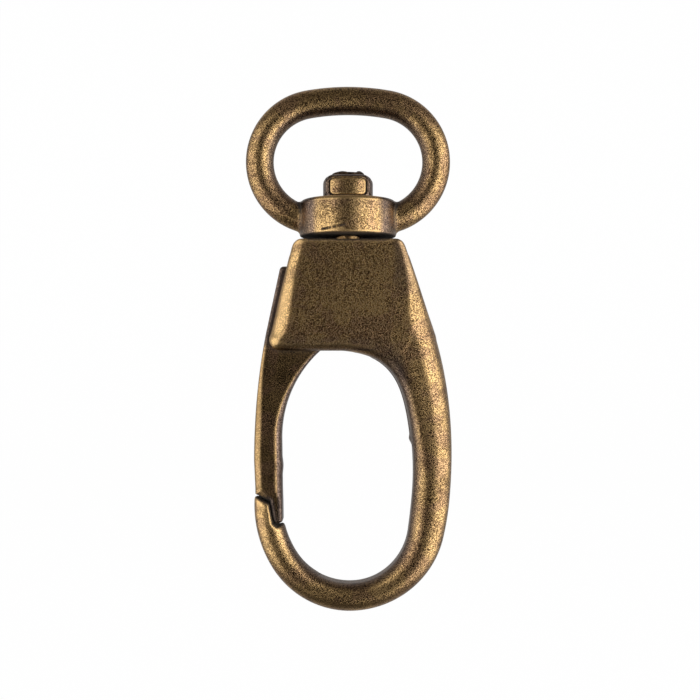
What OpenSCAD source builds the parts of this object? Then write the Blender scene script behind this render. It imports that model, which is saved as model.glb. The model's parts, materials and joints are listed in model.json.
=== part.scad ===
// Swivel snap hook: an oval strap eye turns on a post above a die-cast hook,
// and a sprung gate closes the hook. Millimetres, +Z up along the swivel axis,
// X across the hook, Y through its thickness. The origin is on the swivel axis,
// at the crest of the inside of the eye's top bar, where the strap bears.

/* [Strap eye] */
// Widest strap the eye takes: its inside width
strap_w = 19.8; // [16:0.2:30]
// Clear height inside the eye
eye_gap = 12.6; // [10:0.2:20]
// How far the top and bottom bars bow outward
eye_bow = 0.35; // [0.2:0.05:1]
// Diameter of the eye's bar
eye_wire = 3.7; // [3:0.1:5]
// Diameter of the collar that turns on the post
collar_d = 12.8; // [10:0.1:16]
// Height of the collar
collar_h = 4.85; // [4:0.05:7]
// Rounding of the collar's rims
collar_edge = 0.6; // [0.3:0.1:1]

/* [Swivel post] */
// Diameter of the post
post_d = 3.1; // [2.5:0.1:4]
// Depth of the post's pressed root in the hook
post_root = 3.6; // [3:0.1:4.5]
// Side of the rounded square cap that keeps the collar on
cap_w = 6.7; // [5.5:0.1:9]
// Height of the cap
cap_h = 3.1; // [2.2:0.05:4]
// Radius of the cap's upright corners
cap_corner = 1.1; // [0.5:0.1:2]
// Diameter of the post's staked end on top of the cap
stake_d = 4.3; // [3.6:0.1:5]
// Height of the staked end
stake_h = 0.7; // [0.5:0.05:1]
// Width of the chisel split across the staked end
stake_split = 0.45; // [0.3:0.05:0.8]

/* [Hook housing] */
// Width of the housing at its top
body_top_w = 14.2; // [12:0.1:18]
// Height of the housing
body_h = 14.5; // [13:0.1:18]
// Thickness of the housing, front to back
body_t = 8.4; // [7.4:0.1:12]
// Slope of the housing's gate side, from upright
gate_side_slope = 14; // [8:0.5:18]
// Slope of the housing's arm side, from upright
arm_side_slope = 18.4; // [14:0.2:24]
// Radius of the housing's corners
body_corner = 1.5; // [1.3:0.1:2.5]
// Radius of the housing's rounded edges
body_edge = 1.2; // [0.6:0.1:1.3]

/* [Hook arm] */
// Radius of the long flank, along the middle of the arm
flank_r = 51; // [44:0.5:64]
// Turn of the long flank
flank_turn = 36.5; // [32:0.5:40]
// Radius of the bend at the bottom of the hook
bend_r = 10.25; // [8.5:0.25:12.5]
// Turn of the bend
bend_turn = 136.5; // [130:0.5:142]
// Turn of the nose, from the bend up to the scarf it makes with the gate
nose_turn = 36; // [30:0.5:40]
// Width of the arm where it leaves the housing
arm_root_w = 6.5; // [5.5:0.1:8]
// Width of the arm down its flank
arm_w = 5.15; // [4.2:0.05:6.5]
// Width of the arm at the bottom of the bend
bend_w = 3.9; // [3.3:0.05:5]
// Thickness of the arm down its flank, front to back
arm_t = 5.6; // [4.6:0.1:7]
// Thickness of the arm at the bend, front to back
bend_t = 5; // [4.2:0.1:6]
// Width and thickness of the nose
nose_w = 3.75; // [3.2:0.05:4.8]

/* [Gate] */
// Thickness of the gate, front to back
gate_t = 3.8; // [3.2:0.1:4.6]
// Width of the gate near its tip
gate_w = 3.65; // [3.2:0.05:4.6]
// Radius of the gate's head around the pin
head_r = 2.65; // [2.2:0.05:3]
// Radius of the hollow curve down the inside of the gate
gate_hollow_r = 15.5; // [13:0.5:20]
// How far the gate swings in
gate_swing = 22; // [10:1:24]
// Gap between the gate's tip and the nose
nose_gap = 0.3; // [0.2:0.05:0.5]
// Gap between the gate and the housing's walls, all round
slot_gap = 0.2; // [0.15:0.05:0.4]
// Diameter of the hinge pin
pin_d = 1.6; // [1.2:0.1:2]

/* [Spring] */
// Outside diameter of the gate spring
spring_d = 2.6; // [2:0.1:3]
// Diameter of the spring wire
spring_wire = 0.5; // [0.3:0.05:0.6]
// Turns of the spring, flat ends included
spring_turns = 8; // [5:0.5:9]
// Length of the spring with the gate shut
spring_l = 7; // [6:0.1:8]

/* [Clearances] */
// Radial clearance of the collar on the post
swivel_fit = 0.08; // [0.02:0.01:0.1]
// Radial clearance of the gate on its pin
pin_fit = 0.05; // [0.02:0.01:0.1]
// Play between the cap and the collar
cap_gap = 0.1; // [0.05:0.05:0.3]
// Gap between the collar and the housing, where the post shows
neck_gap = 0.56; // [0.4:0.02:1.2]

/* [Hidden] */
$fn = 96;
eps = 0.02;

// Levels along the swivel axis, from the top down
collar_z = -eye_gap - eye_wire;
cap_z = collar_z + collar_h + cap_gap;
split_floor = 0.2;
body_z = collar_z - neck_gap;
body_floor_z = body_z - body_h;

// Oval of the eye's bar: two shallow arcs joined by two round ends
oval_a = (strap_w + eye_wire) / 2;
oval_b = (eye_gap + eye_wire) / 2;
end_r = oval_b - eye_bow;
bar_half_angle = 2 * atan(eye_bow / (oval_a - end_r));
bar_r = end_r + (oval_a - end_r) / sin(bar_half_angle);
oval_z = -eye_gap / 2;

// Corners of the housing before rounding, [x, z]
top_left = [-body_top_w / 2, body_z];
top_right = [body_top_w / 2, body_z];
floor_left = [top_left.x - body_h * tan(gate_side_slope), body_floor_z];
floor_right = [top_right.x + body_h * tan(arm_side_slope), body_floor_z];

// Hinge pin, set in from the housing's gate side
pin_inset = 1.8;
pin_drop = 6.1;
pivot = [top_left.x - pin_drop * tan(gate_side_slope) + pin_inset, body_z - pin_drop];
slot_w = gate_t + 2 * slot_gap;

// Arm: start inside the housing, heading down and out
arm_inset = 5.92;
arm_rise = 7.35;
arm_start = [floor_right.x - arm_inset, body_floor_z + arm_rise];
arm_heading = 26;
nose_r = 13.8;
nose_over = 3;
arm_flare = 8;
flare_l = 6.6;
flank_l = flank_r * flank_turn * PI / 180;
bend_l = bend_r * bend_turn * PI / 180;
nose_l = nose_r * (nose_turn + nose_over) * PI / 180;
arm_l = flank_l + bend_l + nose_l;
flank_start = [arm_start.x, arm_start.y, arm_heading];
bend_start = turned(flank_start, flank_r, flank_turn);
nose_start = turned(bend_start, bend_r, bend_turn);
nose_top = turned(nose_start, nose_r, nose_turn);

// The gate's outside edge: straight past the head, then a shallow arc to upright,
// where it is in line with the outside of the nose
edge_reach = 2.72;
edge_len = 6.6;
shoulder_rise = 0.78;
scarf_h = 3.9;
upright_h = 4.4;
shoulder_z = nose_top[1] + shoulder_rise;
tip_z = shoulder_z - scarf_h;
edge_foot_z = shoulder_z + upright_h;
edge_slope = 2 * atan((pivot.x - edge_reach - nose_top[0] + nose_w / 2)
    / (pivot.y - edge_foot_z + edge_len));
edge_top = pivot + edge_reach * [-cos(edge_slope), sin(edge_slope)];
edge_turn = edge_top + edge_len * [-sin(edge_slope), -cos(edge_slope)];
edge_r = (edge_turn.y - edge_foot_z) / sin(edge_slope);
outer_x = edge_turn.x - edge_r * (1 - cos(edge_slope));
inner_x = outer_x + gate_w;

// The scarf at the tip, outside to inside, [x, z]
scarf = [
    [outer_x + 0.2, shoulder_z],
    [outer_x + 2.1, shoulder_z - 0.9],
    [outer_x + 2.6, tip_z + 0.4],
    [outer_x + 3, tip_z + 0.05],
    [outer_x + 3.3, tip_z],
    [inner_x + 0.15, tip_z + 0.3],
];

// The gate's root: a spring seat in line with the pivot, then a flare to the edge
seat_angle = 27;
root_inset = 1;
root_r = (pivot.y - body_floor_z - root_inset) / cos(seat_angle);
root_corner = pivot + root_r * [sin(seat_angle), -cos(seat_angle)];
hollow_drop = 11.54;
hollow_foot_z = body_floor_z - hollow_drop;
hollow_c = [inner_x + gate_hollow_r, hollow_foot_z];
hollow_turn = 50;

// Spring: its line runs along the seat's path at half travel
seat_r = 5.6;
spring_angle = seat_angle + gate_swing / 2;
spring_dir = [cos(spring_angle), sin(spring_angle)];
seat_clear = spring_d / 2 * sin(gate_swing / 2) + 0.03;
spring_foot = pivot + seat_r * [sin(seat_angle), -cos(seat_angle)]
    + seat_clear * spring_dir;
spring_bore_d = spring_d + 0.5;

// Cavity: room for the head and for the root's swing
cavity_gap = 0.3;
cavity_out = 4;
cavity_down = 3;
roof_angle = seat_angle + gate_swing + 4;
roof_end = pivot + (root_r + 1) * [sin(roof_angle), -cos(roof_angle)];

// The pin stops against this much wall at the front, and short of the back face
pin_wall = 0.8;
pin_play = 0.05;
pin_sink = 0.1;

function arc(c, r, a0, a1, n) =
    [for (i = [0 : n]) let (a = a0 + (a1 - a0) * i / n) c + r * [cos(a), sin(a)]];

function ease(a, b, t) =
    let (u = min(1, max(0, t))) a + (b - a) * u * u * (3 - 2 * u);

// One point of the arm's middle line and its heading, s along it: [x, z, heading]
function turned(p, r, d) =
    [p[0] - r * cos(p[2]) + r * cos(p[2] - d),
     p[1] - r * sin(p[2]) + r * sin(p[2] - d), p[2] - d];
function along(p, r, s) = turned(p, r, s / r * 180 / PI);
function arm_at(s) =
    s < flank_l ? along(flank_start, flank_r, s)
    : s < flank_l + bend_l ? along(bend_start, bend_r, s - flank_l)
    : along(nose_start, nose_r, s - flank_l - bend_l);

// Width, thickness and squareness of the arm, s along it
narrow_l = 0.85 * flank_l;
low_l = flank_l + 0.55 * bend_l;
root_l = 0.2 * flank_l;
function arm_width(s) =
    s < narrow_l ? ease(arm_root_w, arm_w, s / narrow_l)
    : s < low_l ? ease(arm_w, bend_w, (s - narrow_l) / (low_l - narrow_l))
    : ease(bend_w, nose_w, (s - low_l) / (arm_l - low_l));
function arm_thick(s) =
    s < narrow_l ? ease(body_t - 0.1, arm_t, (s - root_l) / (narrow_l - root_l))
    : s < low_l ? ease(arm_t, bend_t, (s - narrow_l) / (low_l - narrow_l))
    : ease(bend_t, nose_w + 0.3, (s - low_l) / (arm_l - low_l));
function arm_square(s) = ease(6, 2.3, (s - root_l) / (narrow_l - root_l));
function arm_flare_at(s) = arm_flare * exp(-pow(s / flare_l, 2));

function bulge(v, n) = sign(v) * pow(abs(v), 2 / n);

arm_sides = 24;
arm_rings = 64;
function arm_ring(s) =
    let (p = arm_at(s), w = arm_width(s) / 2, t = arm_thick(s) / 2, n = arm_square(s),
         inside = w + arm_flare_at(s))
    [for (i = [0 : arm_sides - 1])
        let (a = 360 * i / arm_sides, u = bulge(cos(a), n), v = bulge(sin(a), n),
             d = (u > 0 ? w : inside) * u)
        [p[0] + d * cos(p[2]), t * v, p[1] + d * sin(p[2])]];

// Skin of a tube: rings of the same number of points, capped at both ends, or
// joined end to end where closed is true
module skin(rings, closed = false) {
    n = len(rings[0]);
    m = len(rings);
    last = closed ? m - 1 : m - 2;
    polyhedron(
        points = [for (ring = rings) each ring],
        faces = concat(
            [for (i = [0 : last], j = [0 : n - 1])
                let (k = (j + 1) % n, next = (i + 1) % m)
                [i * n + k, next * n + k, next * n + j, i * n + j]],
            closed ? [] : [[for (j = [n - 1 : -1 : 0]) j],
                           [for (j = [0 : n - 1]) (m - 1) * n + j]]),
        convexity = 6);
}

// Stands a drawing in X and Z upright, t thick about Y = 0
module slab(t) {
    rotate([90, 0, 0])
        linear_extrude(t, center = true, convexity = 6)
            children();
}

module y_rod(p, r, y0, y1) {
    translate([p.x, y0, p.y])
        rotate([-90, 0, 0])
            cylinder(r = r, h = y1 - y0);
}

// Middle line of the eye's bar, once round: [x, z, direction of its outward side]
function oval_arc(c, r, a0, a1, n) =
    [for (i = [0 : n - 1]) let (a = a0 + (a1 - a0) * i / n)
        [c.x + r * cos(a), c.y + r * sin(a), a]];
function oval() =
    let (h = bar_half_angle, side = oval_a - end_r, drop = bar_r - oval_b)
    concat(
        oval_arc([side, oval_z], end_r, h - 90, 90 - h, 26),
        oval_arc([0, oval_z - drop], bar_r, 90 - h, 90 + h, 6),
        oval_arc([-side, oval_z], end_r, 90 + h, 270 - h, 26),
        oval_arc([0, oval_z + drop], bar_r, 270 - h, 270 + h, 6));

module eye_bar() {
    r = eye_wire / 2;
    sides = 24;
    skin([for (p = oval())
        [for (j = [sides - 1 : -1 : 0])
            let (b = 360 * j / sides, d = r * cos(b))
            [p[0] + d * cos(p[2]), r * sin(b), p[1] + d * sin(p[2])]]], closed = true);
}

module swivel_eye() {
    color([0.46, 0.36, 0.21])
    difference() {
        union() {
            eye_bar();
            collar();
        }
        translate([0, 0, collar_z - 1])
            cylinder(d = post_d + 2 * swivel_fit, h = collar_h + 2);
    }
}

module collar() {
    r = collar_d / 2;
    e = collar_edge;
    translate([0, 0, collar_z])
        rotate_extrude()
            polygon(concat([[0, 0]], arc([r - e, e], e, -90, 0, 8),
                arc([r - e, collar_h - e], e, 0, 90, 8), [[0, collar_h]]));
}

module swivel_post() {
    color([0.72, 0.50, 0.27])
    union() {
        translate([0, 0, body_z - post_root])
            cylinder(d = post_d, h = post_root + cap_z - body_z + cap_h + eps);
        staked_end();
    }
}

module staked_end() {
    r = stake_d / 2;
    difference() {
        translate([0, 0, cap_z + cap_h])
            rotate_extrude()
                polygon(concat([[0, 0], [r, 0]], arc([r - stake_h, 0], stake_h, 15, 90, 6),
                    [[0, stake_h]]));
        translate([r / 4, -r, cap_z + cap_h + split_floor])
            cube([stake_split, 2 * r, stake_h]);
    }
}

module post_cap() {
    r = cap_corner;
    edge = 0.9;
    color([0.38, 0.30, 0.20])
    difference() {
        translate([0, 0, cap_z])
            hull()
                for (x = [-1, 1], y = [-1, 1])
                    translate([x, y, 0] * (cap_w / 2 - r))
                        rotate_extrude($fn = 32)
                            polygon(concat([[0, 0], [r - 0.2, 0], [r, 0.2]],
                                arc([r - edge, cap_h - edge], edge, 0, 90, 5), [[0, cap_h]]));
        translate([0, 0, cap_z - 1])
            cylinder(d = post_d, h = cap_h + 2);
    }
}

// A corner of the housing: a disc with rounded rims, standing in X and Z
module housing_corner(p) {
    h = body_t / 2;
    e = body_edge;
    translate([p.x, 0, p.y])
        rotate([90, 0, 0])
            rotate_extrude($fn = 32)
                polygon(concat([[0, -h]], arc([body_corner - e, e - h], e, -90, 0, 5),
                    arc([body_corner - e, h - e], e, 0, 90, 5), [[0, h]]));
}

module housing() {
    c = body_corner;
    hull() {
        housing_corner(top_left + [c * (1 - tan(gate_side_slope)), -c]);
        housing_corner(top_right + [-c * (1 - tan(arm_side_slope)), -c]);
        housing_corner(floor_left + [c * (1 + tan(gate_side_slope)), c]);
        housing_corner(floor_right + [-c * (1 + tan(arm_side_slope)), c]);
    }
}

module gate_cavity() {
    far = floor_left.x - cavity_out;
    top = pivot.y + head_r + cavity_gap;
    slab(slot_w)
        union() {
            translate(pivot)
                circle(r = head_r + cavity_gap);
            polygon([[far, top], [pivot.x, top], roof_end,
                [roof_end.x, body_floor_z - cavity_down], [far, body_floor_z - cavity_down]]);
        }
}

// Everything above the nose's end, inside the hook's left side
module nose_cut() {
    drop = [-nose_gap, -1.35 * nose_gap];
    slab(3 * arm_t)
        polygon(concat([[outer_x - 5, shoulder_z + 3], scarf[0] + drop + [-4, 1.8]],
            [for (p = scarf) p + drop],
            [[inner_x + 1.6, tip_z - 0.2], [inner_x + 1.6, shoulder_z + 5]]));
}

module hook_body() {
    color([0.42, 0.33, 0.20])
    difference() {
        union() {
            housing();
            difference() {
                skin([for (i = [0 : arm_rings]) arm_ring(arm_l * i / arm_rings)]);
                nose_cut();
            }
        }
        gate_cavity();
        // Blind bore for the post
        translate([0, 0, body_z - post_root])
            cylinder(d = post_d, h = post_root + 1);
        // Bore for the pin: blind in the front wall, open at the back
        y_rod(pivot, pin_d / 2, -body_t / 2 + pin_wall, body_t / 2 + 1);
        // Bore for the spring
        spring_place(-2)
            cylinder(d = spring_bore_d, h = spring_l + 2);
    }
}

// Sets children on the spring's line, d along it from the gate's seat
module spring_place(d) {
    translate([spring_foot.x + d * spring_dir.x, 0, spring_foot.y + d * spring_dir.y])
        rotate([0, 90 - spring_angle, 0])
            children();
}

module gate() {
    top = pivot.y + head_r;
    corner = edge_top + (top - edge_top.y) * [tan(edge_slope), 1];
    round_r = 0.55;
    corner_c = corner + round_r * [1 + tan(edge_slope) / 3, -1];
    color([0.40, 0.31, 0.18])
    difference() {
        slab(gate_t)
            polygon(concat(
                arc(corner_c, round_r, 180 - edge_slope, 90, 5),
                arc(pivot, head_r, 90, seat_angle - 90, 24),
                [root_corner],
                arc(hollow_c, gate_hollow_r, 180 - hollow_turn, 180, 20),
                [for (i = [len(scarf) - 1 : -1 : 0]) scarf[i]],
                arc([outer_x + edge_r, edge_foot_z], edge_r, 180, 180 - edge_slope, 12)));
        y_rod(pivot, pin_d / 2 + pin_fit, -gate_t, gate_t);
    }
}

module gate_pin() {
    color([0.40, 0.31, 0.18])
        y_rod(pivot, pin_d / 2, pin_wall + pin_play - body_t / 2, body_t / 2 - pin_sink);
}

// A coil of round wire; the turns close up at both ends
module gate_spring() {
    steps = 14;
    sides = 6;
    r = (spring_d - spring_wire) / 2;
    rise = spring_l - spring_wire;
    count = spring_turns * steps;
    flat = 1 / spring_turns;
    function lift(t) =
        let (closed = spring_wire * 1.05 / rise)
        t < flat ? closed * t / flat
        : t > 1 - flat ? 1 - closed * (1 - t) / flat
        : closed + (1 - 2 * closed) * (t - flat) / (1 - 2 * flat);
    color("silver")
        spring_place(0)
            skin([for (i = [0 : count])
                let (a = 360 * i / steps, z = spring_wire / 2 + rise * lift(i / count))
                [for (j = [0 : sides - 1])
                    let (b = 360 * j / sides, q = r + spring_wire / 2 * cos(b))
                    [q * cos(a), q * sin(a), z + spring_wire / 2 * sin(b)]]]);
}

swivel_eye();
swivel_post();
post_cap();
hook_body();
gate();
gate_pin();
gate_spring();
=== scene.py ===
import json
import math

import bpy
import numpy as np
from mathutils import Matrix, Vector


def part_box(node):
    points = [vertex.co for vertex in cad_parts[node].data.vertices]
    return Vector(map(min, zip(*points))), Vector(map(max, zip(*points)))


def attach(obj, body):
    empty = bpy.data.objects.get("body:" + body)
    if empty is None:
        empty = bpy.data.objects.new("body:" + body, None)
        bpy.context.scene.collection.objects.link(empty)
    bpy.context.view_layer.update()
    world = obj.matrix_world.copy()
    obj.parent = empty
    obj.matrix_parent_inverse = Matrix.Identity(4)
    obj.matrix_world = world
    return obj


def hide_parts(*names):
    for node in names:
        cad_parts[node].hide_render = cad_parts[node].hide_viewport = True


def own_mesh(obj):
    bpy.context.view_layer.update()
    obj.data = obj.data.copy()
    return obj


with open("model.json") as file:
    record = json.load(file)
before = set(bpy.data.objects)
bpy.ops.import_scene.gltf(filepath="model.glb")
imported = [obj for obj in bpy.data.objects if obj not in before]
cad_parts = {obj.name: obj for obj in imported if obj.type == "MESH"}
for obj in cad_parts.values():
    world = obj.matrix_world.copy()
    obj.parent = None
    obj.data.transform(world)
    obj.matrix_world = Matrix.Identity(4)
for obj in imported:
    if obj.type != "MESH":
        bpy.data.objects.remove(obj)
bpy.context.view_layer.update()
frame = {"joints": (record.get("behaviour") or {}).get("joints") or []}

# ---------------------------------------------------------------------------
# Sizes, in millimetres. What the frame tells is read from it.
# ---------------------------------------------------------------------------
MM = 0.001


def box_mm(node):
    lo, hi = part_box(node)
    return np.array(lo) / MM, np.array(hi) / MM


EYE_LO, EYE_HI = box_mm("swivel_eye")
CAP_LO, CAP_HI = box_mm("post_cap")
POST_LO, POST_HI = box_mm("swivel_post")
BODY_LO, BODY_HI = box_mm("hook_body")
GATE_LO, GATE_HI = box_mm("gate")
PIN_LO, PIN_HI = box_mm("gate_pin")
HINGE = [j for j in frame["joints"] if j["name"] == "gate_hinge"][0]
PIVOT = np.array(HINGE["pos_m"])[[0, 2]] / MM

# Eye and collar
EYE_WIRE = EYE_HI[2]
OVAL_A = EYE_HI[0] - EYE_WIRE / 2
COLLAR_R = EYE_HI[1]
COLLAR_H = 4.85
COLLAR_EDGE = 0.6
COLLAR_Z = EYE_LO[2]
EYE_BOW = 0.35  # how far the ring's long bars bow out
OVAL_B = -COLLAR_Z / 2
OVAL_Z = (COLLAR_Z + EYE_WIRE) / 2
RIM_EDGE = 0.24  # the lower rim is sharper than the upper one
EYE_FILLET = 0.55
CREASE_UP, CREASE_SLANT = 1.05, 0.17
CREASE_LEFT, CREASE_RIGHT = (-2.9, -4.4), (-0.1, 0.7)
CREASE_HALF, CREASE_DEPTH = 0.09, 0.15

# Post and cap
POST_R = 1.55
SWIVEL_FIT = 0.08
STAKE_R = POST_HI[0]
STAKE_H = POST_HI[2] - CAP_HI[2]
LOBES = [(-0.72, 1.25, 1.7), (1.48, 0.66, 1.35)]  # middle in X, half widths in X and Y
CAP_CORNER, CAP_BARREL = 1.1, 11
PANEL_HALF_W, PANEL_HALF_H, PANEL_CORNER, PANEL_DROP = 2.42, 1.2, 0.7, 0.12
GROOVE_HALF, GROOVE_DEPTH = 0.1, 0.2

# Housing
BODY_TOP = BODY_HI[2]
BODY_H = 14.5
BODY_HALF = BODY_HI[1]
BODY_TOP_HALF = 7.1
GATE_SLOPE = math.tan(math.radians(14))
ARM_SLOPE = math.tan(math.radians(19.5))
BODY_CORNER = 1.5
BODY_EDGE = 1.5
LEFT_EDGE, RIGHT_EDGE = (1.7, 2.6), (0.9, 2.0)  # near the top, and lower down
SHOULDER_EDGE = 2.0  # rounder still where the arm leaves
TOP_EDGE, MOUTH_EDGE, NOSE_EDGE = 0.18, 0.25, 0.55
INSIDE_FILLET, OUTSIDE_FILLET = 1.6, 0.12
FLOOR = BODY_TOP - BODY_H
FLOOR_LEFT = -BODY_TOP_HALF - BODY_H * GATE_SLOPE
FLOOR_RIGHT = BODY_TOP_HALF + BODY_H * ARM_SLOPE

# Arm
ARM_START = (FLOOR_RIGHT - 6.23, FLOOR + 7.35)
ARM_HEADING = math.radians(26)
ARM_TURNS = [(51.0, 36.5), (10.25, 136.5), (13.8, 39.0)]
ROOT_W, ARM_W, BEND_W, NOSE_W = 6.5, 5.15, 3.9, 3.75
ARM_T, BEND_T = 5.6, 5.0
FLARE, FLARE_L = 8.0, 6.6
ROOT_POWER, ARM_POWER, OUTER_POWER = 6, 2.3, 2.15  # of the superellipse section
FIN_HALF, FIN_H, FIN_START = 0.22, 0.1, 7
NIB_S, NIB_R = 19.7, 0.44
TRIM_DEPTH = 0.13

# Gate
GATE_HALF = GATE_HI[1]
GATE_W = 3.65
HEAD_R = GATE_HI[2] - PIVOT[1]
TIP_Z = GATE_LO[2]
SHOULDER_Z = TIP_Z + 3.9
ARC_FOOT_Z = SHOULDER_Z + 4.4
EDGE_REACH, EDGE_LEN = 2.72, 6.6
HOLLOW_R = 15.5
HOLLOW_DROP = 11.54
HOLLOW_TURN = 50
SEAT_ANGLE = 27
ROOT_INSET = 1.0
HEAD_CORNER = 0.55
GATE_EDGE_TOP, GATE_EDGE_LOW = 0.42, 1.08
SPRUE_R, SPRUE_STRETCH, SPRUE_INSET, SPRUE_UP = 1.2, 1.55, 1.05, 3.6
NOSE_GAP = 0.34
SLOT_HALF = GATE_HALF + 0.2
CAVITY_GAP = 0.3
PIN_R = (PIN_HI[0] - PIN_LO[0]) / 2
PIN_FIT = 0.05

# Spring
SPRING_R, SPRING_WIRE, SPRING_TURNS, SPRING_L = 1.3, 0.5, 8, 7.0
SEAT_R = 5.6
SWING = HINGE["range_deg"][1]

# Mesh cells, and how each mesh is drawn onto its surface
EYE_CELL, HOOK_CELL, GATE_CELL, SMALL_CELL, PIN_CELL = 0.17, 0.2, 0.12, 0.09, 0.08
NEWTON_ROUNDS, NEWTON_REACH, PROBE = 4, 0.5, 0.05
BEND_ROUNDS = 4


# ---------------------------------------------------------------------------
# Solid shapes as distance fields: negative inside, in millimetres
# ---------------------------------------------------------------------------
def step_between(a, b, t):
    u = np.clip((t - a) / (b - a), 0, 1)
    return u * u * (3 - 2 * u)


def ease(a, b, t):
    return a + (b - a) * step_between(0, 1, t)


def join(a, b, k):
    h = np.maximum(k - np.abs(a - b), 0) / k
    return np.minimum(a, b) - h * h * k / 4


def cut(a, b, k):
    return -join(-a, b, k)


def prism(d2, y, half, edge):
    qx, qy = d2 + edge, np.abs(y) - half + edge
    inner = np.minimum(np.maximum(qx, qy), 0)
    return inner + np.hypot(np.maximum(qx, 0), np.maximum(qy, 0)) - edge


def outline(x, z, points):
    best, inside = None, False
    count = len(points)
    for i in range(count):
        ax, az = points[i]
        bx, bz = points[(i + 1) % count]
        ex, ez = bx - ax, bz - az
        if ex * ex + ez * ez < 1e-12:
            continue
        wx, wz = x - ax, z - az
        t = np.clip((wx * ex + wz * ez) / (ex * ex + ez * ez), 0, 1)
        d = (wx - ex * t) ** 2 + (wz - ez * t) ** 2
        best = d if best is None else np.minimum(best, d)
        over, under, left = z >= az, z < bz, ex * wz > ez * wx
        inside = inside ^ ((over & under & left) | (~over & ~under & ~left))
    return np.where(inside, -1, 1) * np.sqrt(best)


def arc(c, r, a0, a1, n):
    angles = np.radians(np.linspace(a0, a1, n + 1))
    return [(c[0] + r * math.cos(a), c[1] + r * math.sin(a)) for a in angles]


# --- strap eye
END_R = OVAL_B - EYE_BOW
BAR_HALF_ANGLE = 2 * math.atan(EYE_BOW / (OVAL_A - END_R))
BAR_R = END_R + (OVAL_A - END_R) / math.sin(BAR_HALF_ANGLE)


def oval_distance(x, z):
    side, drop = OVAL_A - END_R, BAR_R - OVAL_B
    ax, az = np.abs(x), np.abs(z - OVAL_Z)
    end = np.abs(np.hypot(ax - side, az) - END_R)
    bar = np.abs(np.hypot(ax, az + drop) - BAR_R)
    on_bar = np.arctan2(ax, az + drop) < BAR_HALF_ANGLE
    return np.where(on_bar, bar, end)


def eye_field(x, y, z):
    ring = np.hypot(oval_distance(x, z), y) - EYE_WIRE / 2
    rho = np.hypot(x, y)
    middle = COLLAR_Z + COLLAR_H / 2
    edge = ease(RIM_EDGE, COLLAR_EDGE, (z - middle) / 2 + 0.5)
    collar = prism(rho - COLLAR_R, z - middle, COLLAR_H / 2, edge)
    # a cold shut: a short slanting crease left by the casting near the lower rim
    off = np.abs(z - COLLAR_Z - CREASE_UP - CREASE_SLANT * x)
    off = off + 0.5 * step_between(*CREASE_LEFT, x)
    off = off + 0.5 * step_between(*CREASE_RIGHT, x) + 0.5 * step_between(-4, -2, y)
    crease = np.maximum(off - CREASE_HALF, COLLAR_R - CREASE_DEPTH - rho)
    bore = np.maximum(rho - POST_R - SWIVEL_FIT, z - COLLAR_Z - COLLAR_H - 1)
    return cut(cut(join(ring, collar, EYE_FILLET), crease, 0.12), bore, 0.15)


# --- post and cap
def post_field(x, y, z):
    rho = np.hypot(x, y)
    shaft_half = (CAP_HI[2] + 0.1 - POST_LO[2]) / 2
    shaft = prism(rho - POST_R, z - POST_LO[2] - shaft_half, shaft_half, 0.15)
    # the staked end: struck over into two low lobes either side of the chisel's line
    up = z - CAP_HI[2]
    disc = prism(rho - STAKE_R, up - STAKE_H / 4, STAKE_H / 4, 0.16)
    big, small = [np.hypot(np.hypot((x - at) / wide, y / deep), (up - 0.02) / STAKE_H) - 1
                  for at, wide, deep in LOBES]
    lobes = np.maximum(np.minimum(big, small) * 0.6, rho - STAKE_R)
    dents = 0.04 * np.sin(3.1 * x + 0.8) * np.cos(2.9 * y - 0.4)
    head = np.maximum(join(disc, lobes + dents, 0.2), -0.1 - up)
    return np.maximum(np.minimum(shaft, head), POST_LO[2] - z)


def cap_panel(x, y, z):
    """Each side of the cap carries a flat panel inside a struck line."""
    along = np.minimum(np.abs(x), np.abs(y))
    middle = (CAP_LO[2] + CAP_HI[2]) / 2
    px = along - PANEL_HALF_W + PANEL_CORNER
    pz = np.abs(z - middle + PANEL_DROP) - PANEL_HALF_H + PANEL_CORNER
    panel = np.minimum(np.maximum(px, pz), 0)
    return panel + np.hypot(np.maximum(px, 0), np.maximum(pz, 0)) - PANEL_CORNER


def cap_field(x, y, z):
    half = CAP_HI[0]
    # the four sides are a little barrelled
    along, out = np.minimum(np.abs(x), np.abs(y)), np.maximum(np.abs(x), np.abs(y))
    out = out + along * along / CAP_BARREL
    qx, qy = np.abs(x) - half + CAP_CORNER, np.abs(y) - half + CAP_CORNER
    square = np.minimum(np.maximum(qx, qy), 0)
    square = square + np.hypot(np.maximum(qx, 0), np.maximum(qy, 0)) - CAP_CORNER
    square = cut(square, half - out, 0.15)
    middle, half_h = (CAP_LO[2] + CAP_HI[2]) / 2, (CAP_HI[2] - CAP_LO[2]) / 2
    edge = ease(0.3, 1.1, (z - middle) / 0.8 + 0.9)
    d = prism(square, z - middle, half_h, edge)
    line = np.abs(cap_panel(x, y, z)) - GROOVE_HALF
    d = cut(d, np.maximum(line, half - GROOVE_DEPTH - out), 0.1)
    return cut(d, np.hypot(x, y) - POST_R, 0.1)


# --- arm of the hook
def arm_turns():
    turns, p, a, s = [], np.array(ARM_START), ARM_HEADING, 0.0
    for r, degrees in ARM_TURNS:
        d = math.radians(degrees)
        c = p - r * np.array([math.cos(a), math.sin(a)])
        turns.append((c, r, a, a - d, s))
        a -= d
        p = c + r * np.array([math.cos(a), math.sin(a)])
        s += r * d
    return turns, s


TURNS, ARM_L = arm_turns()
FLANK_L = TURNS[1][4]
BEND_L = TURNS[2][4] - FLANK_L
NARROW_L, LOW_L, ROOT_L = 0.85 * FLANK_L, FLANK_L + 0.55 * BEND_L, 0.2 * FLANK_L


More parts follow.
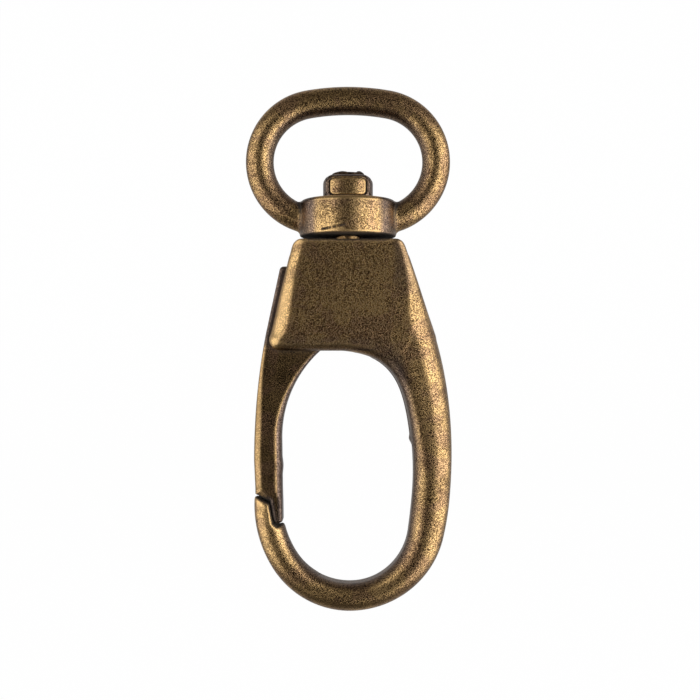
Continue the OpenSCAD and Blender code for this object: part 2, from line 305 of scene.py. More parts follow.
def arm_place(x, z):
    """Distance along the arm's middle line, and out from it."""
    far = s_at = u_at = None
    for c, r, a0, a1, s0 in TURNS:
        dx, dz = x - c[0], z - c[1]
        middle = (a0 + a1) / 2
        angle = middle + np.mod(np.arctan2(dz, dx) - middle + np.pi, 2 * np.pi) - np.pi
        held = np.clip(angle, a1, a0)
        d = np.hypot(dx - r * np.cos(held), dz - r * np.sin(held))
        s, u = s0 + r * (a0 - angle), np.hypot(dx, dz) - r
        if far is None:
            far, s_at, u_at = d, s, u
        else:
            near = d < far
            far = np.where(near, d, far)
            s_at, u_at = np.where(near, s, s_at), np.where(near, u, u_at)
    return s_at, u_at


def three_steps(s, a, b, c, d, start=0.0):
    first = ease(a, b, (s - start) / (NARROW_L - start))
    second = ease(b, c, (s - NARROW_L) / (LOW_L - NARROW_L))
    third = ease(c, d, (s - LOW_L) / (ARM_L - LOW_L))
    return np.where(s < NARROW_L, first, np.where(s < LOW_L, second, third))


def arm_field(x, y, z, s, u):
    w = three_steps(s, ROOT_W, ARM_W, BEND_W, NOSE_W) / 2
    t = three_steps(s, 2 * BODY_HALF - 0.1, ARM_T, BEND_T, NOSE_W + 0.3, ROOT_L) / 2
    n = ease(ROOT_POWER, ARM_POWER, (s - ROOT_L) / (NARROW_L - ROOT_L))
    n = np.where(u > 0, OUTER_POWER, n)
    side = np.where(u > 0, w, w + FLARE * np.exp(-((s / FLARE_L) ** 2)))
    au, ay = np.abs(u) + 1e-5, np.abs(y) + 1e-5
    k = ((au / side) ** n + (ay / t) ** n) ** (1 / n)
    d = np.hypot(au, ay) * (1 - 1 / k)
    # the parting line down the inside: a low fin to a nib, then trimmed flat
    inner = -(u + side)
    trim_end = FLANK_L + 0.80 * BEND_L
    fin = np.maximum(np.abs(y) - FIN_HALF, inner - FIN_H)
    fin = np.maximum(fin, u)
    fin = np.where((s > FIN_START) & (s < NIB_S), fin, 1)
    nib = np.sqrt((s - NIB_S) ** 2 / 1.6 + (inner + 0.22) ** 2 + (y / 2.4) ** 2) - NIB_R
    trim = inner + TRIM_DEPTH
    on = step_between(NIB_S + 0.3, NIB_S + 0.9, s) * step_between(trim_end + 0.4, trim_end, s)
    d = cut(d, 2 * (1 - on) - trim, 0.08)
    return join(join(d, fin, 0.12), nib, 0.25)


# --- gate
def gate_lines():
    """The outer edge: a slope beside the housing, then an arc into the upright."""
    side = PIVOT[0] - EDGE_REACH - GATE_LO[0]
    slope = 2 * math.atan(side / (PIVOT[1] - ARC_FOOT_Z + EDGE_LEN))
    top = PIVOT + EDGE_REACH * np.array([-math.cos(slope), math.sin(slope)])
    turn = top + EDGE_LEN * np.array([-math.sin(slope), -math.cos(slope)])
    edge_r = (turn[1] - ARC_FOOT_Z) / math.sin(slope)
    outer_x = turn[0] - edge_r * (1 - math.cos(slope))
    return slope, top, edge_r, outer_x


EDGE_SLOPE, EDGE_TOP, EDGE_R, OUTER_X = gate_lines()
INNER_X = OUTER_X + GATE_W
SCARF = [
    (OUTER_X + 0.2, SHOULDER_Z),
    (OUTER_X + 2.1, SHOULDER_Z - 0.9),
    (OUTER_X + 2.6, TIP_Z + 0.4),
    (OUTER_X + 3, TIP_Z + 0.05),
    (OUTER_X + 3.3, TIP_Z),
    (INNER_X + 0.15, TIP_Z + 0.3),
]
SEAT = math.radians(SEAT_ANGLE)
SEAT_DOWN = np.array([math.sin(SEAT), -math.cos(SEAT)])
ROOT_R = (PIVOT[1] - FLOOR - ROOT_INSET) / math.cos(SEAT)


def gate_outline():
    slope = math.degrees(EDGE_SLOPE)
    top = PIVOT[1] + HEAD_R
    corner = EDGE_TOP + (top - EDGE_TOP[1]) * np.array([math.tan(EDGE_SLOPE), 1])
    c = corner + HEAD_CORNER * np.array([1 + math.tan(EDGE_SLOPE) / 3, -1])
    hollow = (INNER_X + HOLLOW_R, FLOOR - HOLLOW_DROP)
    points = arc(c, HEAD_CORNER, 180 - slope, 90, 6)
    points += arc(PIVOT, HEAD_R, 90, SEAT_ANGLE - 90, 40)
    points += [tuple(PIVOT + ROOT_R * SEAT_DOWN)]
    points += arc(hollow, HOLLOW_R, 180 - HOLLOW_TURN, 180, 40)
    points += SCARF[::-1]
    points += arc((OUTER_X + EDGE_R, ARC_FOOT_Z), EDGE_R, 180, 180 - slope, 24)
    return points


GATE_OUTLINE = gate_outline()


def gate_field(x, y, z):
    flat = outline(x, z, GATE_OUTLINE)
    # a worn-down sprue mark on the inner edge
    up = (z - SHOULDER_Z - SPRUE_UP) / SPRUE_STRETCH
    mark = np.hypot(x - INNER_X + SPRUE_INSET, up) - SPRUE_R
    flat = join(flat, np.where(x > INNER_X - 1.5, mark, 1), 0.2)
    edge = ease(GATE_EDGE_TOP, GATE_EDGE_LOW, (FLOOR - 0.5 - z) / 11)
    edge = edge * ease(1, 0.42, (SHOULDER_Z + 0.9 - z) / 2.2)
    d = prism(flat, y, GATE_HALF, edge)
    pin = np.hypot(x - PIVOT[0], z - PIVOT[1]) - PIN_R - PIN_FIT
    return cut(d, pin, 0.1)


# --- hook body
SPRING_ANGLE = math.radians(SEAT_ANGLE + SWING / 2)
SPRING_DIR = np.array([math.cos(SPRING_ANGLE), math.sin(SPRING_ANGLE)])
SEAT_CLEAR = SPRING_R * math.sin(math.radians(SWING / 2)) + 0.03
SPRING_FOOT = PIVOT + SEAT_R * SEAT_DOWN + SEAT_CLEAR * SPRING_DIR
ROOF = math.radians(SEAT_ANGLE + SWING + 4)
ROOF_END = PIVOT + (ROOT_R + 1) * np.array([math.sin(ROOF), -math.cos(ROOF)])
HOUSING = [
    (-BODY_TOP_HALF + BODY_CORNER * (1 - GATE_SLOPE), BODY_TOP - BODY_CORNER),
    (BODY_TOP_HALF - BODY_CORNER * (1 - ARM_SLOPE), BODY_TOP - BODY_CORNER),
    (FLOOR_RIGHT - BODY_CORNER * (1 + ARM_SLOPE), FLOOR + BODY_CORNER),
    (FLOOR_LEFT + BODY_CORNER * (1 + GATE_SLOPE), FLOOR + BODY_CORNER),
]
# the same sides carried on above the top
RISE = 5
HOUSING_TALL = [
    (HOUSING[0][0] + RISE * GATE_SLOPE, HOUSING[0][1] + RISE),
    (HOUSING[1][0] - RISE * ARM_SLOPE, HOUSING[1][1] + RISE),
    HOUSING[2],
    HOUSING[3],
]


def cavity_field(x, y, z):
    far, top = FLOOR_LEFT - 4, PIVOT[1] + HEAD_R + CAVITY_GAP
    round_part = np.hypot(x - PIVOT[0], z - PIVOT[1]) - HEAD_R - CAVITY_GAP
    rest = outline(x, z, [(far, top), (PIVOT[0], top), tuple(ROOF_END),
                          (ROOF_END[0], FLOOR - 3), (far, FLOOR - 3)])
    return np.maximum(np.minimum(round_part, rest), np.abs(y) - SLOT_HALF)


def nose_cut(x, z):
    # straight down, which opens the scarf's ends and leaves its steep middle almost shut
    dropped = [(px, pz - NOSE_GAP) for px, pz in SCARF]
    first = (dropped[0][0] - 4, dropped[0][1] + 1.8)
    return outline(x, z, [(OUTER_X - 5, SHOULDER_Z + 3), first, *dropped,
                          (INNER_X + 1.6, TIP_Z - 0.2), (INNER_X + 1.6, SHOULDER_Z + 5)])


def spring_bore(x, y, z):
    dx, dz = x - SPRING_FOOT[0], z - SPRING_FOOT[1]
    along = dx * SPRING_DIR[0] + dz * SPRING_DIR[1]
    across = -dx * SPRING_DIR[1] + dz * SPRING_DIR[0]
    return np.maximum(np.hypot(across, y) - SPRING_R - 0.25,
                      np.maximum(along - SPRING_L, -2 - along))


def body_field(x, y, z):
    s, u = arm_place(x, z)
    # the long side edges are well rounded, the top's edges only broken
    left = ease(*LEFT_EDGE, (BODY_TOP - 4 - z) / 8)
    right = ease(*RIGHT_EDGE, (BODY_TOP - 1 - z) / 9)
    edge = ease(BODY_EDGE, ease(left, right, x / 6 + 0.5), (z - FLOOR - 0.6) / 2)
    edge = edge + SHOULDER_EDGE * step_between(BODY_TOP - 4, FLOOR, z) * step_between(5, 9.5, x)
    housing = prism(outline(x, z, HOUSING_TALL) - BODY_CORNER, y, BODY_HALF, edge)
    above = outline(x, z, HOUSING) - BODY_CORNER - 3 * step_between(BODY_TOP - 2, BODY_TOP - 4, z)
    housing = cut(housing, -above, TOP_EDGE)
    arm = arm_field(x, y, z, s, u)
    arm = cut(arm, nose_cut(x, z), NOSE_EDGE)
    arm = np.maximum(arm + 0.12 * step_between(3, 0, s), np.maximum(-s, s - ARM_L))
    fillet = ease(INSIDE_FILLET, OUTSIDE_FILLET, (u + 2.2) / 3)
    d = cut(join(housing, arm, fillet), BODY_HALF - np.abs(y), 0.02)
    d = cut(d, cavity_field(x, y, z), MOUTH_EDGE)
    d = cut(d, np.maximum(np.hypot(x, y) - POST_R, POST_LO[2] - z), 0.1)
    pin = np.hypot(x - PIVOT[0], z - PIVOT[1]) - PIN_R
    d = cut(d, np.maximum(pin, PIN_LO[1] - PIN_FIT - y), 0.12)
    return cut(d, spring_bore(x, y, z), 0.1)


def pin_field(x, y, z):
    half = (PIN_HI[1] - PIN_LO[1]) / 2
    rho = np.hypot(x - PIVOT[0], z - PIVOT[1])
    return prism(rho - PIN_R, y - PIN_LO[1] - half, half, 0.2)


# ---------------------------------------------------------------------------
# Meshes from fields
# ---------------------------------------------------------------------------
def gradient(field, p, e):
    base = field(p[:, 0], p[:, 1], p[:, 2])
    parts = []
    for i in range(3):
        q = p.copy()
        q[:, i] += e
        parts.append((field(q[:, 0], q[:, 1], q[:, 2]) - base) / e)
    return base, np.stack(parts, 1)


def net(field, lo, hi, step):
    """Vertices and quads on the zero level of field, one vertex to a cell."""
    lo, hi = np.array(lo) - 3 * step, np.array(hi) + 3 * step
    count = np.ceil((hi - lo) / step).astype(int) + 1
    x, y, z = [lo[i] + step * np.arange(count[i]) for i in range(3)]
    value = field(x[:, None, None], y[None, :, None], z[None, None, :])
    value = np.broadcast_to(value, count)
    inside = value < 0
    cells = count - 1
    size = int(np.prod(cells))
    hits, total = np.zeros(size), np.zeros((3, size))
    loops = []
    for axis in range(3):
        a, b = [slice(None)] * 3, [slice(None)] * 3
        a[axis], b[axis] = slice(None, -1), slice(1, None)
        va, vb = value[tuple(a)], value[tuple(b)]
        crossed = inside[tuple(a)] != inside[tuple(b)]
        at = np.argwhere(crossed)
        va, vb = va[crossed], vb[crossed]
        spot = at.astype(float)
        spot[:, axis] += va / (va - vb)
        one, two = [k for k in range(3) if k != axis]
        ring = []
        for d1, d2 in ((1, 1), (0, 1), (0, 0), (1, 0)):
            cell = at.copy()
            cell[:, one] -= d1
            cell[:, two] -= d2
            flat = np.ravel_multi_index(cell.T, cells)
            ring.append(flat)
            hits += np.bincount(flat, minlength=size)
            for k in range(3):
                total[k] += np.bincount(flat, weights=spot[:, k], minlength=size)
        ring = np.stack(ring, 1)
        turned = (va < 0) == (axis == 1)
        ring[turned] = ring[turned][:, ::-1]
        loops.append(ring)
    used = hits > 0
    index = np.cumsum(used) - 1
    points = (total[:, used] / hits[used]).T * step + lo
    quads = index[np.concatenate(loops)]
    for _ in range(NEWTON_ROUNDS):
        value, slope = gradient(field, points, step * PROBE)
        length = np.maximum((slope ** 2).sum(1), 1e-4)
        move = np.clip(value / length, -NEWTON_REACH * step, NEWTON_REACH * step)
        points -= move[:, None] * slope
    _, slope = gradient(field, points, step * PROBE)
    normals = slope / np.maximum(np.linalg.norm(slope, axis=1), 1e-9)[:, None]
    return points, quads, normals


def bending(points, quads, normals, rounds):
    """How far the surface bends at each vertex, 1 / mm; positive on an edge."""
    a = quads.ravel()
    b = np.roll(quads, -1, 1).ravel()
    run = points[b] - points[a]
    length = np.maximum((run ** 2).sum(1), 1e-6)
    bend = ((normals[b] - normals[a]) * run).sum(1) / length
    count = np.bincount(a, minlength=len(points)) + np.bincount(b, minlength=len(points))
    value = np.bincount(a, bend, len(points)) + np.bincount(b, bend, len(points))
    value = value / np.maximum(count, 1)
    for _ in range(rounds):
        near = np.bincount(a, value[b], len(points)) + np.bincount(b, value[a], len(points))
        value = (value + near / np.maximum(count, 1)) / 2
    return value


def make_mesh(name, points, faces):
    mesh = bpy.data.meshes.new(name)
    mesh.vertices.add(len(points))
    mesh.vertices.foreach_set("co", (points * MM).astype(np.float32).ravel())
    faces = np.asarray(faces)
    mesh.loops.add(faces.size)
    mesh.loops.foreach_set("vertex_index", faces.astype(np.int32).ravel())
    mesh.polygons.add(len(faces))
    side = faces.shape[1]
    mesh.polygons.foreach_set("loop_start", np.arange(0, faces.size, side, dtype=np.int32))
    mesh.polygons.foreach_set("use_smooth", np.ones(len(faces), bool))
    mesh.update(calc_edges=True)
    mesh.validate()
    return mesh


def add_values(mesh, name, values):
    attribute = mesh.attributes.new(name, "FLOAT", "POINT")
    attribute.data.foreach_set("value", np.asarray(values, np.float32))


def place(mesh, name, node, body, material):
    obj = bpy.data.objects.new(name, mesh)
    bpy.context.scene.collection.objects.link(obj)
    mesh.materials.append(material)
    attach(obj, body)
    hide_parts(node)
    return obj


def carve(name, node, body, field, step, wear_and_highlight, material, shade=None, painted_shadow=None,
          rub_and_highlight=None):
    """Mesh a field, mark its worn edges and painted highlight, its painted shade, its dark
    hollows and painted shadow, and set it on its body.
    """
    lo, hi = box_mm(node)
    points, quads, normals = net(field, lo, hi, step)
    bend = bending(points, quads, normals, BEND_ROUNDS)
    mesh = make_mesh(name, points, quads)
    # dark patina in concave places; the optional mask adds painted shadow in gaps and under parts
    hollow, painted_shade = step_between(-0.05, -0.9, bend), np.zeros(len(points))
    if painted_shadow is not None:
        hollow = np.maximum(hollow, painted_shadow(*points.T))
    if shade is not None:
        painted_shade = shade(*points.T)
    worn_and_highlight = step_between(wear_and_highlight[0], wear_and_highlight[1], bend)
    # the optional mask adds a painted highlight band to the edge wear
    if rub_and_highlight is not None:
        worn_and_highlight = np.maximum(worn_and_highlight, rub_and_highlight(*points.T))
    add_values(mesh, "wear_and_highlight", worn_and_highlight * (1 - hollow) * (1 - painted_shade))
    add_values(mesh, "shade", painted_shade)
    add_values(mesh, "hollow", hollow)
    return place(mesh, name, node, body, material)


# Painted shade, a dull grey tone where these lights leave a surface dim; and painted shadow in
# gaps, under the collar and under the housing
# painted shade on the ring's inner side and on the collar's flanks
def eye_shade(x, y, z):
    side, drop = OVAL_A - END_R, BAR_R - OVAL_B
    ax, az = np.abs(x), np.abs(z - OVAL_Z)
    out = np.where(np.arctan2(ax, az + drop) < BAR_HALF_ANGLE,
                   np.hypot(ax, az + drop) - BAR_R, np.hypot(ax - side, az) - END_R)
    inner = 0.7 * step_between(-0.7, -1.5, out)
    flank = 0.9 * step_between(3.7, 4.8, np.abs(x))
    on_collar = step_between(COLLAR_R + 0.1, COLLAR_R - 0.05, np.hypot(x, y))
    on_collar = on_collar * (z < COLLAR_Z + COLLAR_H + 0.2)
    return ease(inner, flank, on_collar)


# painted shadow on the collar's underside
def eye_painted_shadow(x, y, z):
    return step_between(COLLAR_Z + 0.22, COLLAR_Z + 0.04, z)


# painted shade on the arm's inner side, the housing's upper right edge and its bottom rim
def body_shade(x, y, z):
    s, u = arm_place(x, z)
    w = three_steps(s, ROOT_W, ARM_W, BEND_W, NOSE_W) / 2
    inner = 0.85 * step_between(0.5, 0.92, -u / w) * step_between(4, 10, s)
    right = 0.45 * step_between(5.5, 6.5, x) * step_between(BODY_TOP - 9, BODY_TOP - 4, z)
    rim = ease(0.35, 0.7, (FLOOR + 0.4 - z) / 0.3) * step_between(FLOOR + 2, FLOOR + 1, z)
    rim = rim * step_between(-9.6, -8, x) * step_between(6, 3, x) * (z > FLOOR - 0.1)
    return np.maximum(inner, np.maximum(right, rim))


# painted highlight: a bright band of the worn colour along the housing's left bevel, stronger
# lower down
def left_bevel_highlight(x, y, z):
    edge_x = -BODY_TOP_HALF - (BODY_TOP - z) * GATE_SLOPE
    band = step_between(2.2, 1.3, x - edge_x) * step_between(FLOOR, FLOOR + 0.6, z)
    band = band * ease(0.25, 0.8, (BODY_TOP - 3 - z) / 5)
    return band * step_between(BODY_TOP - 0.2, BODY_TOP - 0.8, z)


# painted shadow on the housing's top under the collar, inside the slot and on the nose's scarf
# faces
def body_painted_shadow(x, y, z):
    top = step_between(BODY_TOP - 0.45, BODY_TOP - 0.15, z)
    top = top * step_between(7.6, 6.4, np.hypot(x, y))
    inside = step_between(SLOT_HALF + 0.35, SLOT_HALF + 0.05, np.abs(y))
    inside = inside * step_between(0.6, 0.1, cavity_field(x, y, z))
    scarf = step_between(0.28, 0.12, nose_cut(x, z)) * (z < SHOULDER_Z)
    return np.maximum(np.maximum(top, inside), scarf)


# painted shade on the gate's inner edge and where it runs beside the housing
def gate_shade(x, y, z):
    flat = outline(x, z, GATE_OUTLINE)
    width = ease(0.2, 0.5, (FLOOR - 2 - z) / 9)
    inner = 0.85 * step_between(-0.25 - width, -width, flat)
    inner = inner * step_between(PIVOT[0] - 4.5, PIVOT[0] - 3.5, x)
    housing = outline(x, z, HOUSING) - BODY_CORNER
    beside = 0.85 * step_between(2.6, 1.6, housing) * step_between(FLOOR - 0.5, FLOOR + 1.5, z)
    return np.maximum(inner, beside)


# painted shadow where the gate runs under the housing, and on its scarf face
def gate_painted_shadow(x, y, z):
    housing = outline(x, z, HOUSING) - BODY_CORNER
    scarf = step_between(-0.34, -0.12, outline(x, z, GATE_OUTLINE))
    scarf = scarf * step_between(SHOULDER_Z + 0.1, SHOULDER_Z - 0.1, z)
    scarf = scarf * step_between(OUTER_X + 3.2, OUTER_X + 2.8, x)
    return np.maximum(0.7 * step_between(0.9, -0.4, housing), scarf)


# painted shade on the cap's side faces and around its panel
def cap_shade(x, y, z):
    flank = step_between(-0.1, 0.2, np.abs(x) - np.abs(y))
    return 0.85 * np.maximum(flank, step_between(0.02, 0.14, cap_panel(x, y, z)))


# ---------------------------------------------------------------------------
# Materials
# ---------------------------------------------------------------------------
class Nodes:
    """Short calls for building a node tree."""

    def __init__(self, tree):
        self.tree = tree
        tree.nodes.clear()

    def put(self, socket, value):
        if isinstance(value, bpy.types.NodeSocket):
            self.tree.links.new(value, socket)
        elif value is not None:
            socket.default_value = value

    def add(self, kind, settings=None, **inputs):
        node = self.tree.nodes.new(kind)
        for key, value in (settings or {}).items():
            setattr(node, key, value)
        for key, value in inputs.items():
            self.put(node.inputs[key.replace("_", " ")], value)
        return node

    def math(self, operation, a, b=None, c=None):
        node = self.add("ShaderNodeMath", {"operation": operation})
        for socket, value in zip(node.inputs, (a, b, c)):
            self.put(socket, value)
        return node.outputs[0]

    def noise(self, where, scale, detail=2.0, roughness=0.5, distortion=0.0):
        node = self.add("ShaderNodeTexNoise", Vector=where, Scale=scale, Detail=detail,
                        Roughness=roughness, Distortion=distortion)
        return node.outputs["Fac"]

    def range(self, value, a, b, c=0.0, d=1.0):
        node = self.add("ShaderNodeMapRange", {"interpolation_type": "SMOOTHSTEP"}, Value=value)
        for key, number in zip(("From Min", "From Max", "To Min", "To Max"), (a, b, c, d)):
            self.put(node.inputs[key], number)
        return node.outputs[0]

    def mix(self, factor, a, b):
        node = self.add("ShaderNodeMix", {"data_type": "RGBA"})
        self.put(node.inputs[0], factor)
        self.put(node.inputs[6], a)
        self.put(node.inputs[7], b)
        return node.outputs[2]


def millimetres(n):
    where = n.add("ShaderNodeTexCoord").outputs["Object"]
    scaled = n.add("ShaderNodeVectorMath", {"operation": "SCALE"}, Vector=where, Scale=1000.0)
    return scaled.outputs[0]


def new_material(name):
    material = bpy.data.materials.new(name)
    material.use_nodes = True
    return material, Nodes(material.node_tree)


# Noise sizes, per millimetre, and the patina's colours
GRAIN, SPECK, CLOUD, TINT = 4.7, 8.4, 0.33, 0.3
DARK, MID = (0.068, 0.038, 0.016, 1), (0.19, 0.114, 0.048, 1)
# the worn colour also paints the highlight on the housing's left bevel
BRIGHT, WORN_AND_HIGHLIGHT = (0.80, 0.52, 0.228, 1), (0.84, 0.55, 0.24, 1)
# the gate's patina colours are darker than the rest: painted shade for its flat face
GATE_DARK, GATE_MID = (0.022, 0.012, 0.006, 1), (0.062, 0.036, 0.015, 1)
GATE_BRIGHT = (0.38, 0.243, 0.106, 1)
RED_DARK, RED_BRIGHT = (0.06, 0.030, 0.020, 1), (0.52, 0.30, 0.185, 1)
# the dull grey of the painted shade
GREY_DARK, GREY_BRIGHT = (0.06, 0.043, 0.038, 1), (0.24, 0.175, 0.145, 1)
# near black for the patina in hollows and for the painted shadow
PATINA_AND_SHADOW_BLACK = (0.012, 0.008, 0.006, 1)
TARNISH_DARK, TARNISH_LIGHT = (0.035, 0.022, 0.016, 1), (0.16, 0.10, 0.06, 1)


def antique_brass(name, dark, mid, bright, worn_and_highlight, rub_and_highlight=0.75, rough=0.29):
    """Brass plate with a brown patina, mottled as it was tumbled, and rubbed on its edges, where
    the wear mark also paints a highlight; the shade mark paints a dull grey shade, the hollow
    mark a black patina and painted shadow.
    """
    material, n = new_material(name)
    where = millimetres(n)
    grain = n.noise(where, GRAIN, 2.0, 0.6, 0.9)
    speck = n.noise(where, SPECK, 1.0, 0.5, 0.4)
    cloud = n.noise(where, CLOUD, 3.0, 0.55, 0.5)
    tint = n.noise(where, TINT, 2.0, 0.5, 0.8)
    wear_and_highlight, shade, hollow = [
        n.add("ShaderNodeAttribute", {"attribute_name": key}).outputs["Fac"]
        for key in ("wear_and_highlight", "shade", "hollow")
    ]
    # flecks and short threads of bare brass wander over the patina
    level = n.math("MULTIPLY_ADD", cloud, 0.38, -0.19)
    fleck = n.range(n.math("ADD", speck, level), 0.50, 0.64)
    near = n.math("ABSOLUTE", n.math("SUBTRACT", grain, 0.5))
    thread = n.math("MULTIPLY", n.range(near, 0.02, 0.062, 1.0, 0.0), n.range(speck, 0.42, 0.56))
    bare = n.math("MAXIMUM", fleck, thread)
    ground = n.mix(n.range(n.math("ADD", grain, level), 0.42, 0.60), dark, mid)
    base = n.mix(bare, ground, bright)
    reddish = n.math("MULTIPLY", n.range(tint, 0.44, 0.62), 0.5)
    base = n.mix(reddish, base, n.mix(bare, RED_DARK, RED_BRIGHT))
    # the rub wins where the wear is high, and so does the painted highlight on the hook's left
    # bevel; the grain breaks its border up
    rubbed_and_highlit = n.math("MULTIPLY", wear_and_highlight, n.math("MULTIPLY_ADD", bare, 0.3 * rub_and_highlight, 0.7 * rub_and_highlight))
    base = n.mix(rubbed_and_highlit, base, worn_and_highlight)
    # painted shade: the shade mark mixes in a dull grey
    base = n.mix(shade, base, n.mix(bare, GREY_DARK, GREY_BRIGHT))
    # dark patina in hollows, and painted shadow in gaps and under parts: near black, rough and
    # less metallic
    base = n.mix(n.math("MULTIPLY", hollow, 0.9), base, PATINA_AND_SHADOW_BLACK)
    roughness = n.math("MULTIPLY_ADD", bare, -0.04, rough + 0.02)
    roughness = n.math("MULTIPLY_ADD", hollow, 0.45, roughness)
    metal = n.math("MULTIPLY_ADD", hollow, -0.9, 1.0)
    bump = n.add("ShaderNodeBump", Strength=0.25, Distance=0.00003, Height=bare)
    shader = n.add("ShaderNodeBsdfPrincipled", Base_Color=base, Metallic=metal,
                   Roughness=roughness, Normal=bump.outputs[0])
    out = n.add("ShaderNodeOutputMaterial")
    n.tree.links.new(shader.outputs[0], out.inputs[0])
    return material


def turned_metal(name, colour, shade, scale, roughness, tarnish_z=None):
    """Plain metal, a little blotched; above tarnish_z it carries the dark patina."""
    material, n = new_material(name)
    where = millimetres(n)
    blotch = n.noise(where, scale, 4.0, 0.6, 0.4)
    fine = n.noise(where, scale * 6, 2.0, 0.5)
    base = n.mix(n.range(blotch, 0.38, 0.64), colour, shade)
    if tarnish_z is not None:
        height_mm = n.add("ShaderNodeSeparateXYZ", Vector=where).outputs[2]
        patina = n.mix(n.range(blotch, 0.4, 0.7), TARNISH_DARK, TARNISH_LIGHT)
        base = n.mix(n.range(height_mm, tarnish_z - 1, tarnish_z), base, patina)
    rough = n.range(fine, 0.3, 0.7, roughness - 0.06, roughness + 0.08)
    if tarnish_z is not None:
        rough = n.math("ADD", rough, n.range(height_mm, tarnish_z - 1, tarnish_z, 0.0, 0.35))
    bump = n.add("ShaderNodeBump", Strength=0.2, Distance=0.00002, Height=fine)
    shader = n.add("ShaderNodeBsdfPrincipled", Base_Color=base, Metallic=1.0,
                   Roughness=rough, Normal=bump.outputs[0])
    out = n.add("ShaderNodeOutputMaterial")
    n.tree.links.new(shader.outputs[0], out.inputs[0])
    return material


brass = antique_brass("antique_brass", DARK, MID, BRIGHT, WORN_AND_HIGHLIGHT)
# a darker copy of the patina for the gate: painted shade
gate_brass = antique_brass("antique_brass_gate", GATE_DARK, GATE_MID, GATE_BRIGHT, WORN_AND_HIGHLIGHT, rub_and_highlight=0.41)
neck_brass = turned_metal("bright_brass", (0.95, 0.60, 0.27, 1), (0.70, 0.40, 0.17, 1), 1.4, 0.3,
                          tarnish_z=float(CAP_HI[2]) - 0.5)
pin_brass = turned_metal("pin_brass", (0.36, 0.26, 0.14, 1), (0.14, 0.10, 0.06, 1), 1.8, 0.4)
steel = turned_metal("spring_steel", (0.55, 0.55, 0.56, 1), (0.35, 0.34, 0.33, 1), 1.2, 0.3)

# ---------------------------------------------------------------------------
# Pieces
# ---------------------------------------------------------------------------
# the bends, in 1 / mm, between which the wear sets in
EYE_WEAR, HOOK_WEAR, GATE_WEAR, SMALL_WEAR = (0.33, 0.62), (0.23, 0.45), (0.20, 0.48), (0.3, 0.9)
carve("strap_eye", "swivel_eye", "eye", eye_field, EYE_CELL, EYE_WEAR, brass,
      shade=eye_shade, painted_shadow=eye_painted_shadow)
carve("hook", "hook_body", "hook", body_field, HOOK_CELL, HOOK_WEAR, brass,
      shade=body_shade, painted_shadow=body_painted_shadow, rub_and_highlight=left_bevel_highlight)
carve("snap_gate", "gate", "gate", gate_field, GATE_CELL, GATE_WEAR, gate_brass,
      shade=gate_shade, painted_shadow=gate_painted_shadow)
carve("rivet_cap", "post_cap", "hook", cap_field, SMALL_CELL, SMALL_WEAR, brass,
      shade=cap_shade)
carve("rivet_post", "swivel_post", "hook", post_field, SMALL_CELL, SMALL_WEAR,
      neck_brass)
carve("hinge_pin", "gate_pin", "hook", pin_field, PIN_CELL, SMALL_WEAR, pin_brass)


def spring_mesh():
    """A coil of round wire whose turns close up at both ends."""
    steps, sides = 40, 12
    rise = SPRING_L - SPRING_WIRE
    turn = np.arange(SPRING_TURNS * steps + 1) / steps
    shut, t = SPRING_WIRE * 1.05 / rise, turn / SPRING_TURNS
    flat = 1 / SPRING_TURNS
    lift = np.where(t < flat, shut * t / flat,
                    np.where(t > 1 - flat, 1 - shut * (1 - t) / flat,
                             shut + (1 - 2 * shut) * (t - flat) / (1 - 2 * flat)))
    a, b = 2 * np.pi * turn[:, None], 2 * np.pi * np.arange(sides)[None, :] / sides
    wire = SPRING_WIRE / 2
    rho = SPRING_R - wire + wire * np.cos(b)
    across, y = rho * np.cos(a), rho * np.sin(a)
    along = wire + rise * lift[:, None] + wire * np.sin(b)
    x = SPRING_FOOT[0] + along * SPRING_DIR[0] + across * SPRING_DIR[1]
    z = SPRING_FOOT[1] + along * SPRING_DIR[1] - across * SPRING_DIR[0]
    points = np.stack([x, y + 0 * x, z], 2).reshape(-1, 3)
    i, j = np.meshgrid(np.arange(len(turn) - 1), np.arange(sides), indexing="ij")
    k = (j + 1) % sides
    quads = np.stack([i * sides + j, i * sides + k, (i + 1) * sides + k, (i + 1) * sides + j], 2)
    mesh = bpy.data.meshes.new("coil_spring")
    last = (len(turn) - 1) * sides
    caps = [list(range(sides))[::-1], list(range(last, last + sides))]
    mesh.from_pydata([tuple(p * MM) for p in points], [], quads.reshape(-1, 4).tolist() + caps)
    mesh.polygons.foreach_set("use_smooth", np.ones(len(mesh.polygons), bool))
    mesh.update()
    return mesh


spring = place(spring_mesh(), "coil_spring", "gate_spring", "hook", steel)
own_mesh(spring)


# ---------------------------------------------------------------------------
# Stage, light and camera
# ---------------------------------------------------------------------------
PAPER_GREY, PAPER_GLOW = 0.02, 0.985
BACK_LEVEL, TOP_LEVEL, BASE_LEVEL = 0.36, 0.08, 0.08
BOX_X, BOX_Y, BOX_DROP = 0.389, -0.157, 0.05
RIGHT_BOX, RIGHT_RADIANCE = (0.72, 0.72), 2.25
LEFT_BOX, LEFT_RADIANCE = (0.72, 0.62), 1.48
CAMERA_X, CAMERA_Y, CAMERA_DROP = 0.00027, -0.1467, 0.000185
SENSOR, LENS = 36, 56.6


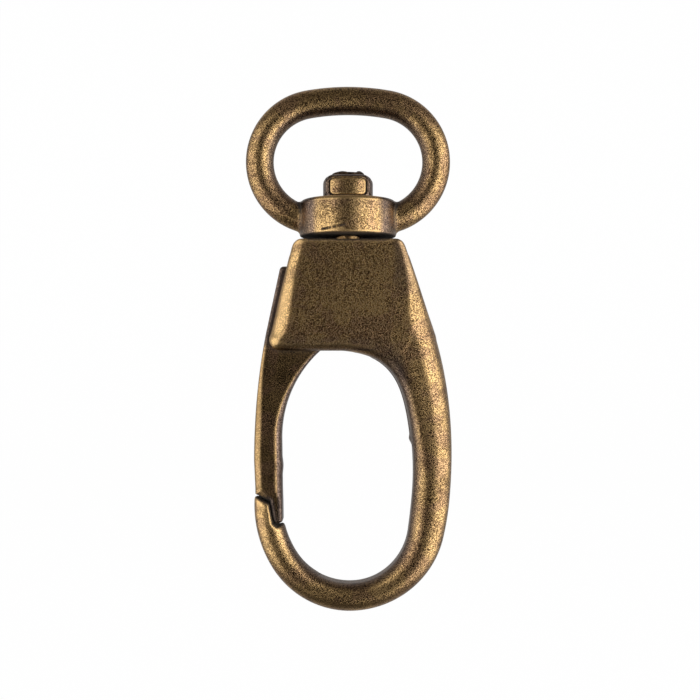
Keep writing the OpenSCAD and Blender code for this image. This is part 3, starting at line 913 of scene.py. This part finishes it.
def stage_bowl():
    """A pale floor that curves up into a wall all round."""
    floor_z, floor_r, curve_r, wall_z = -0.092, 0.42, 0.16, 0.75
    rings = [(0.0, floor_z), (floor_r * 0.5, floor_z)]
    for a in np.radians(np.linspace(0, 90, 13)):
        rings.append((floor_r + curve_r * math.sin(a), floor_z + curve_r * (1 - math.cos(a))))
    rings.append((floor_r + curve_r, wall_z))
    sides = 96
    points, faces = [(0.0, 0.0, floor_z)], []
    for r, z in rings[1:]:
        for a in 2 * np.pi * np.arange(sides) / sides:
            points.append((r * math.cos(a), r * math.sin(a), z))
    for j in range(sides):
        k = (j + 1) % sides
        faces.append((0, 1 + j, 1 + k))
        for i in range(len(rings) - 2):
            low, high = 1 + i * sides, 1 + (i + 1) * sides
            faces.append((low + j, high + j, high + k, low + k))
    mesh = bpy.data.meshes.new("stage_bowl")
    mesh.from_pydata(points, [], faces)
    mesh.polygons.foreach_set("use_smooth", np.ones(len(mesh.polygons), bool))
    obj = bpy.data.objects.new("stage_bowl", mesh)
    bpy.context.scene.collection.objects.link(obj)
    material, n = new_material("stage_paper")
    paper = n.add("ShaderNodeBsdfDiffuse", Color=(PAPER_GREY, PAPER_GREY, PAPER_GREY, 1))
    glow = n.add("ShaderNodeEmission", Color=(1, 1, 1, 1), Strength=PAPER_GLOW)
    both = n.add("ShaderNodeAddShader")
    out = n.add("ShaderNodeOutputMaterial")
    n.tree.links.new(paper.outputs[0], both.inputs[0])
    n.tree.links.new(glow.outputs[0], both.inputs[1])
    n.tree.links.new(both.outputs[0], out.inputs[0])
    mesh.materials.append(material)
    for ray in ("diffuse", "glossy", "transmission", "volume_scatter", "shadow"):
        setattr(obj, "visible_" + ray, False)


def softbox(name, where, size, radiance, aim):
    """An even rectangle of light, set by its radiance and turned towards aim."""
    data = bpy.data.lights.new(name, "AREA")
    data.shape, data.size, data.size_y = "RECTANGLE", size[0], size[1]
    data.energy = radiance * math.pi * size[0] * size[1]
    light = bpy.data.objects.new(name, data)
    bpy.context.scene.collection.objects.link(light)
    light.location = where
    light.rotation_euler = (Vector(aim) - Vector(where)).to_track_quat("-Z", "Y").to_euler()
    light.visible_camera = False


def world_light():
    """Pale behind the object, as over white paper, and dim on the camera's side."""
    world = bpy.data.worlds.new("studio")
    bpy.context.scene.world = world
    world.use_nodes = True
    n = Nodes(world.node_tree)
    where = n.add("ShaderNodeTexCoord").outputs["Generated"]
    split = n.add("ShaderNodeSeparateXYZ", Vector=where)
    back = n.range(split.outputs[1], -0.1, 0.7, 0.0, BACK_LEVEL)
    top = n.range(split.outputs[2], 0.2, 0.9, 0.0, TOP_LEVEL)
    level = n.math("ADD", n.math("ADD", back, top), BASE_LEVEL)
    shade = n.add("ShaderNodeBackground", Color=(1.0, 0.98, 0.97, 1), Strength=level)
    out = n.add("ShaderNodeOutputWorld")
    n.tree.links.new(shade.outputs[0], out.inputs[0])


CENTRE_Z = (BODY_LO[2] + EYE_HI[2]) / 2 * MM
AIM = (0.0, 0.0, CENTRE_Z)
stage_bowl()
world_light()
softbox("softbox_right", (BOX_X, BOX_Y, CENTRE_Z - BOX_DROP), RIGHT_BOX, RIGHT_RADIANCE, AIM)
softbox("softbox_left", (-BOX_X, BOX_Y, CENTRE_Z), LEFT_BOX, LEFT_RADIANCE, AIM)

camera = bpy.data.objects.new("camera", bpy.data.cameras.new("camera"))
bpy.context.scene.collection.objects.link(camera)
camera.data.sensor_width = SENSOR
camera.data.lens = LENS
camera.data.clip_start, camera.data.clip_end = 0.005, 5
camera.location = (CAMERA_X, CAMERA_Y, CENTRE_Z - CAMERA_DROP)
camera.rotation_euler = (math.pi / 2, 0, 0)
bpy.context.scene.camera = camera
bpy.context.scene.view_settings.view_transform = "Standard"
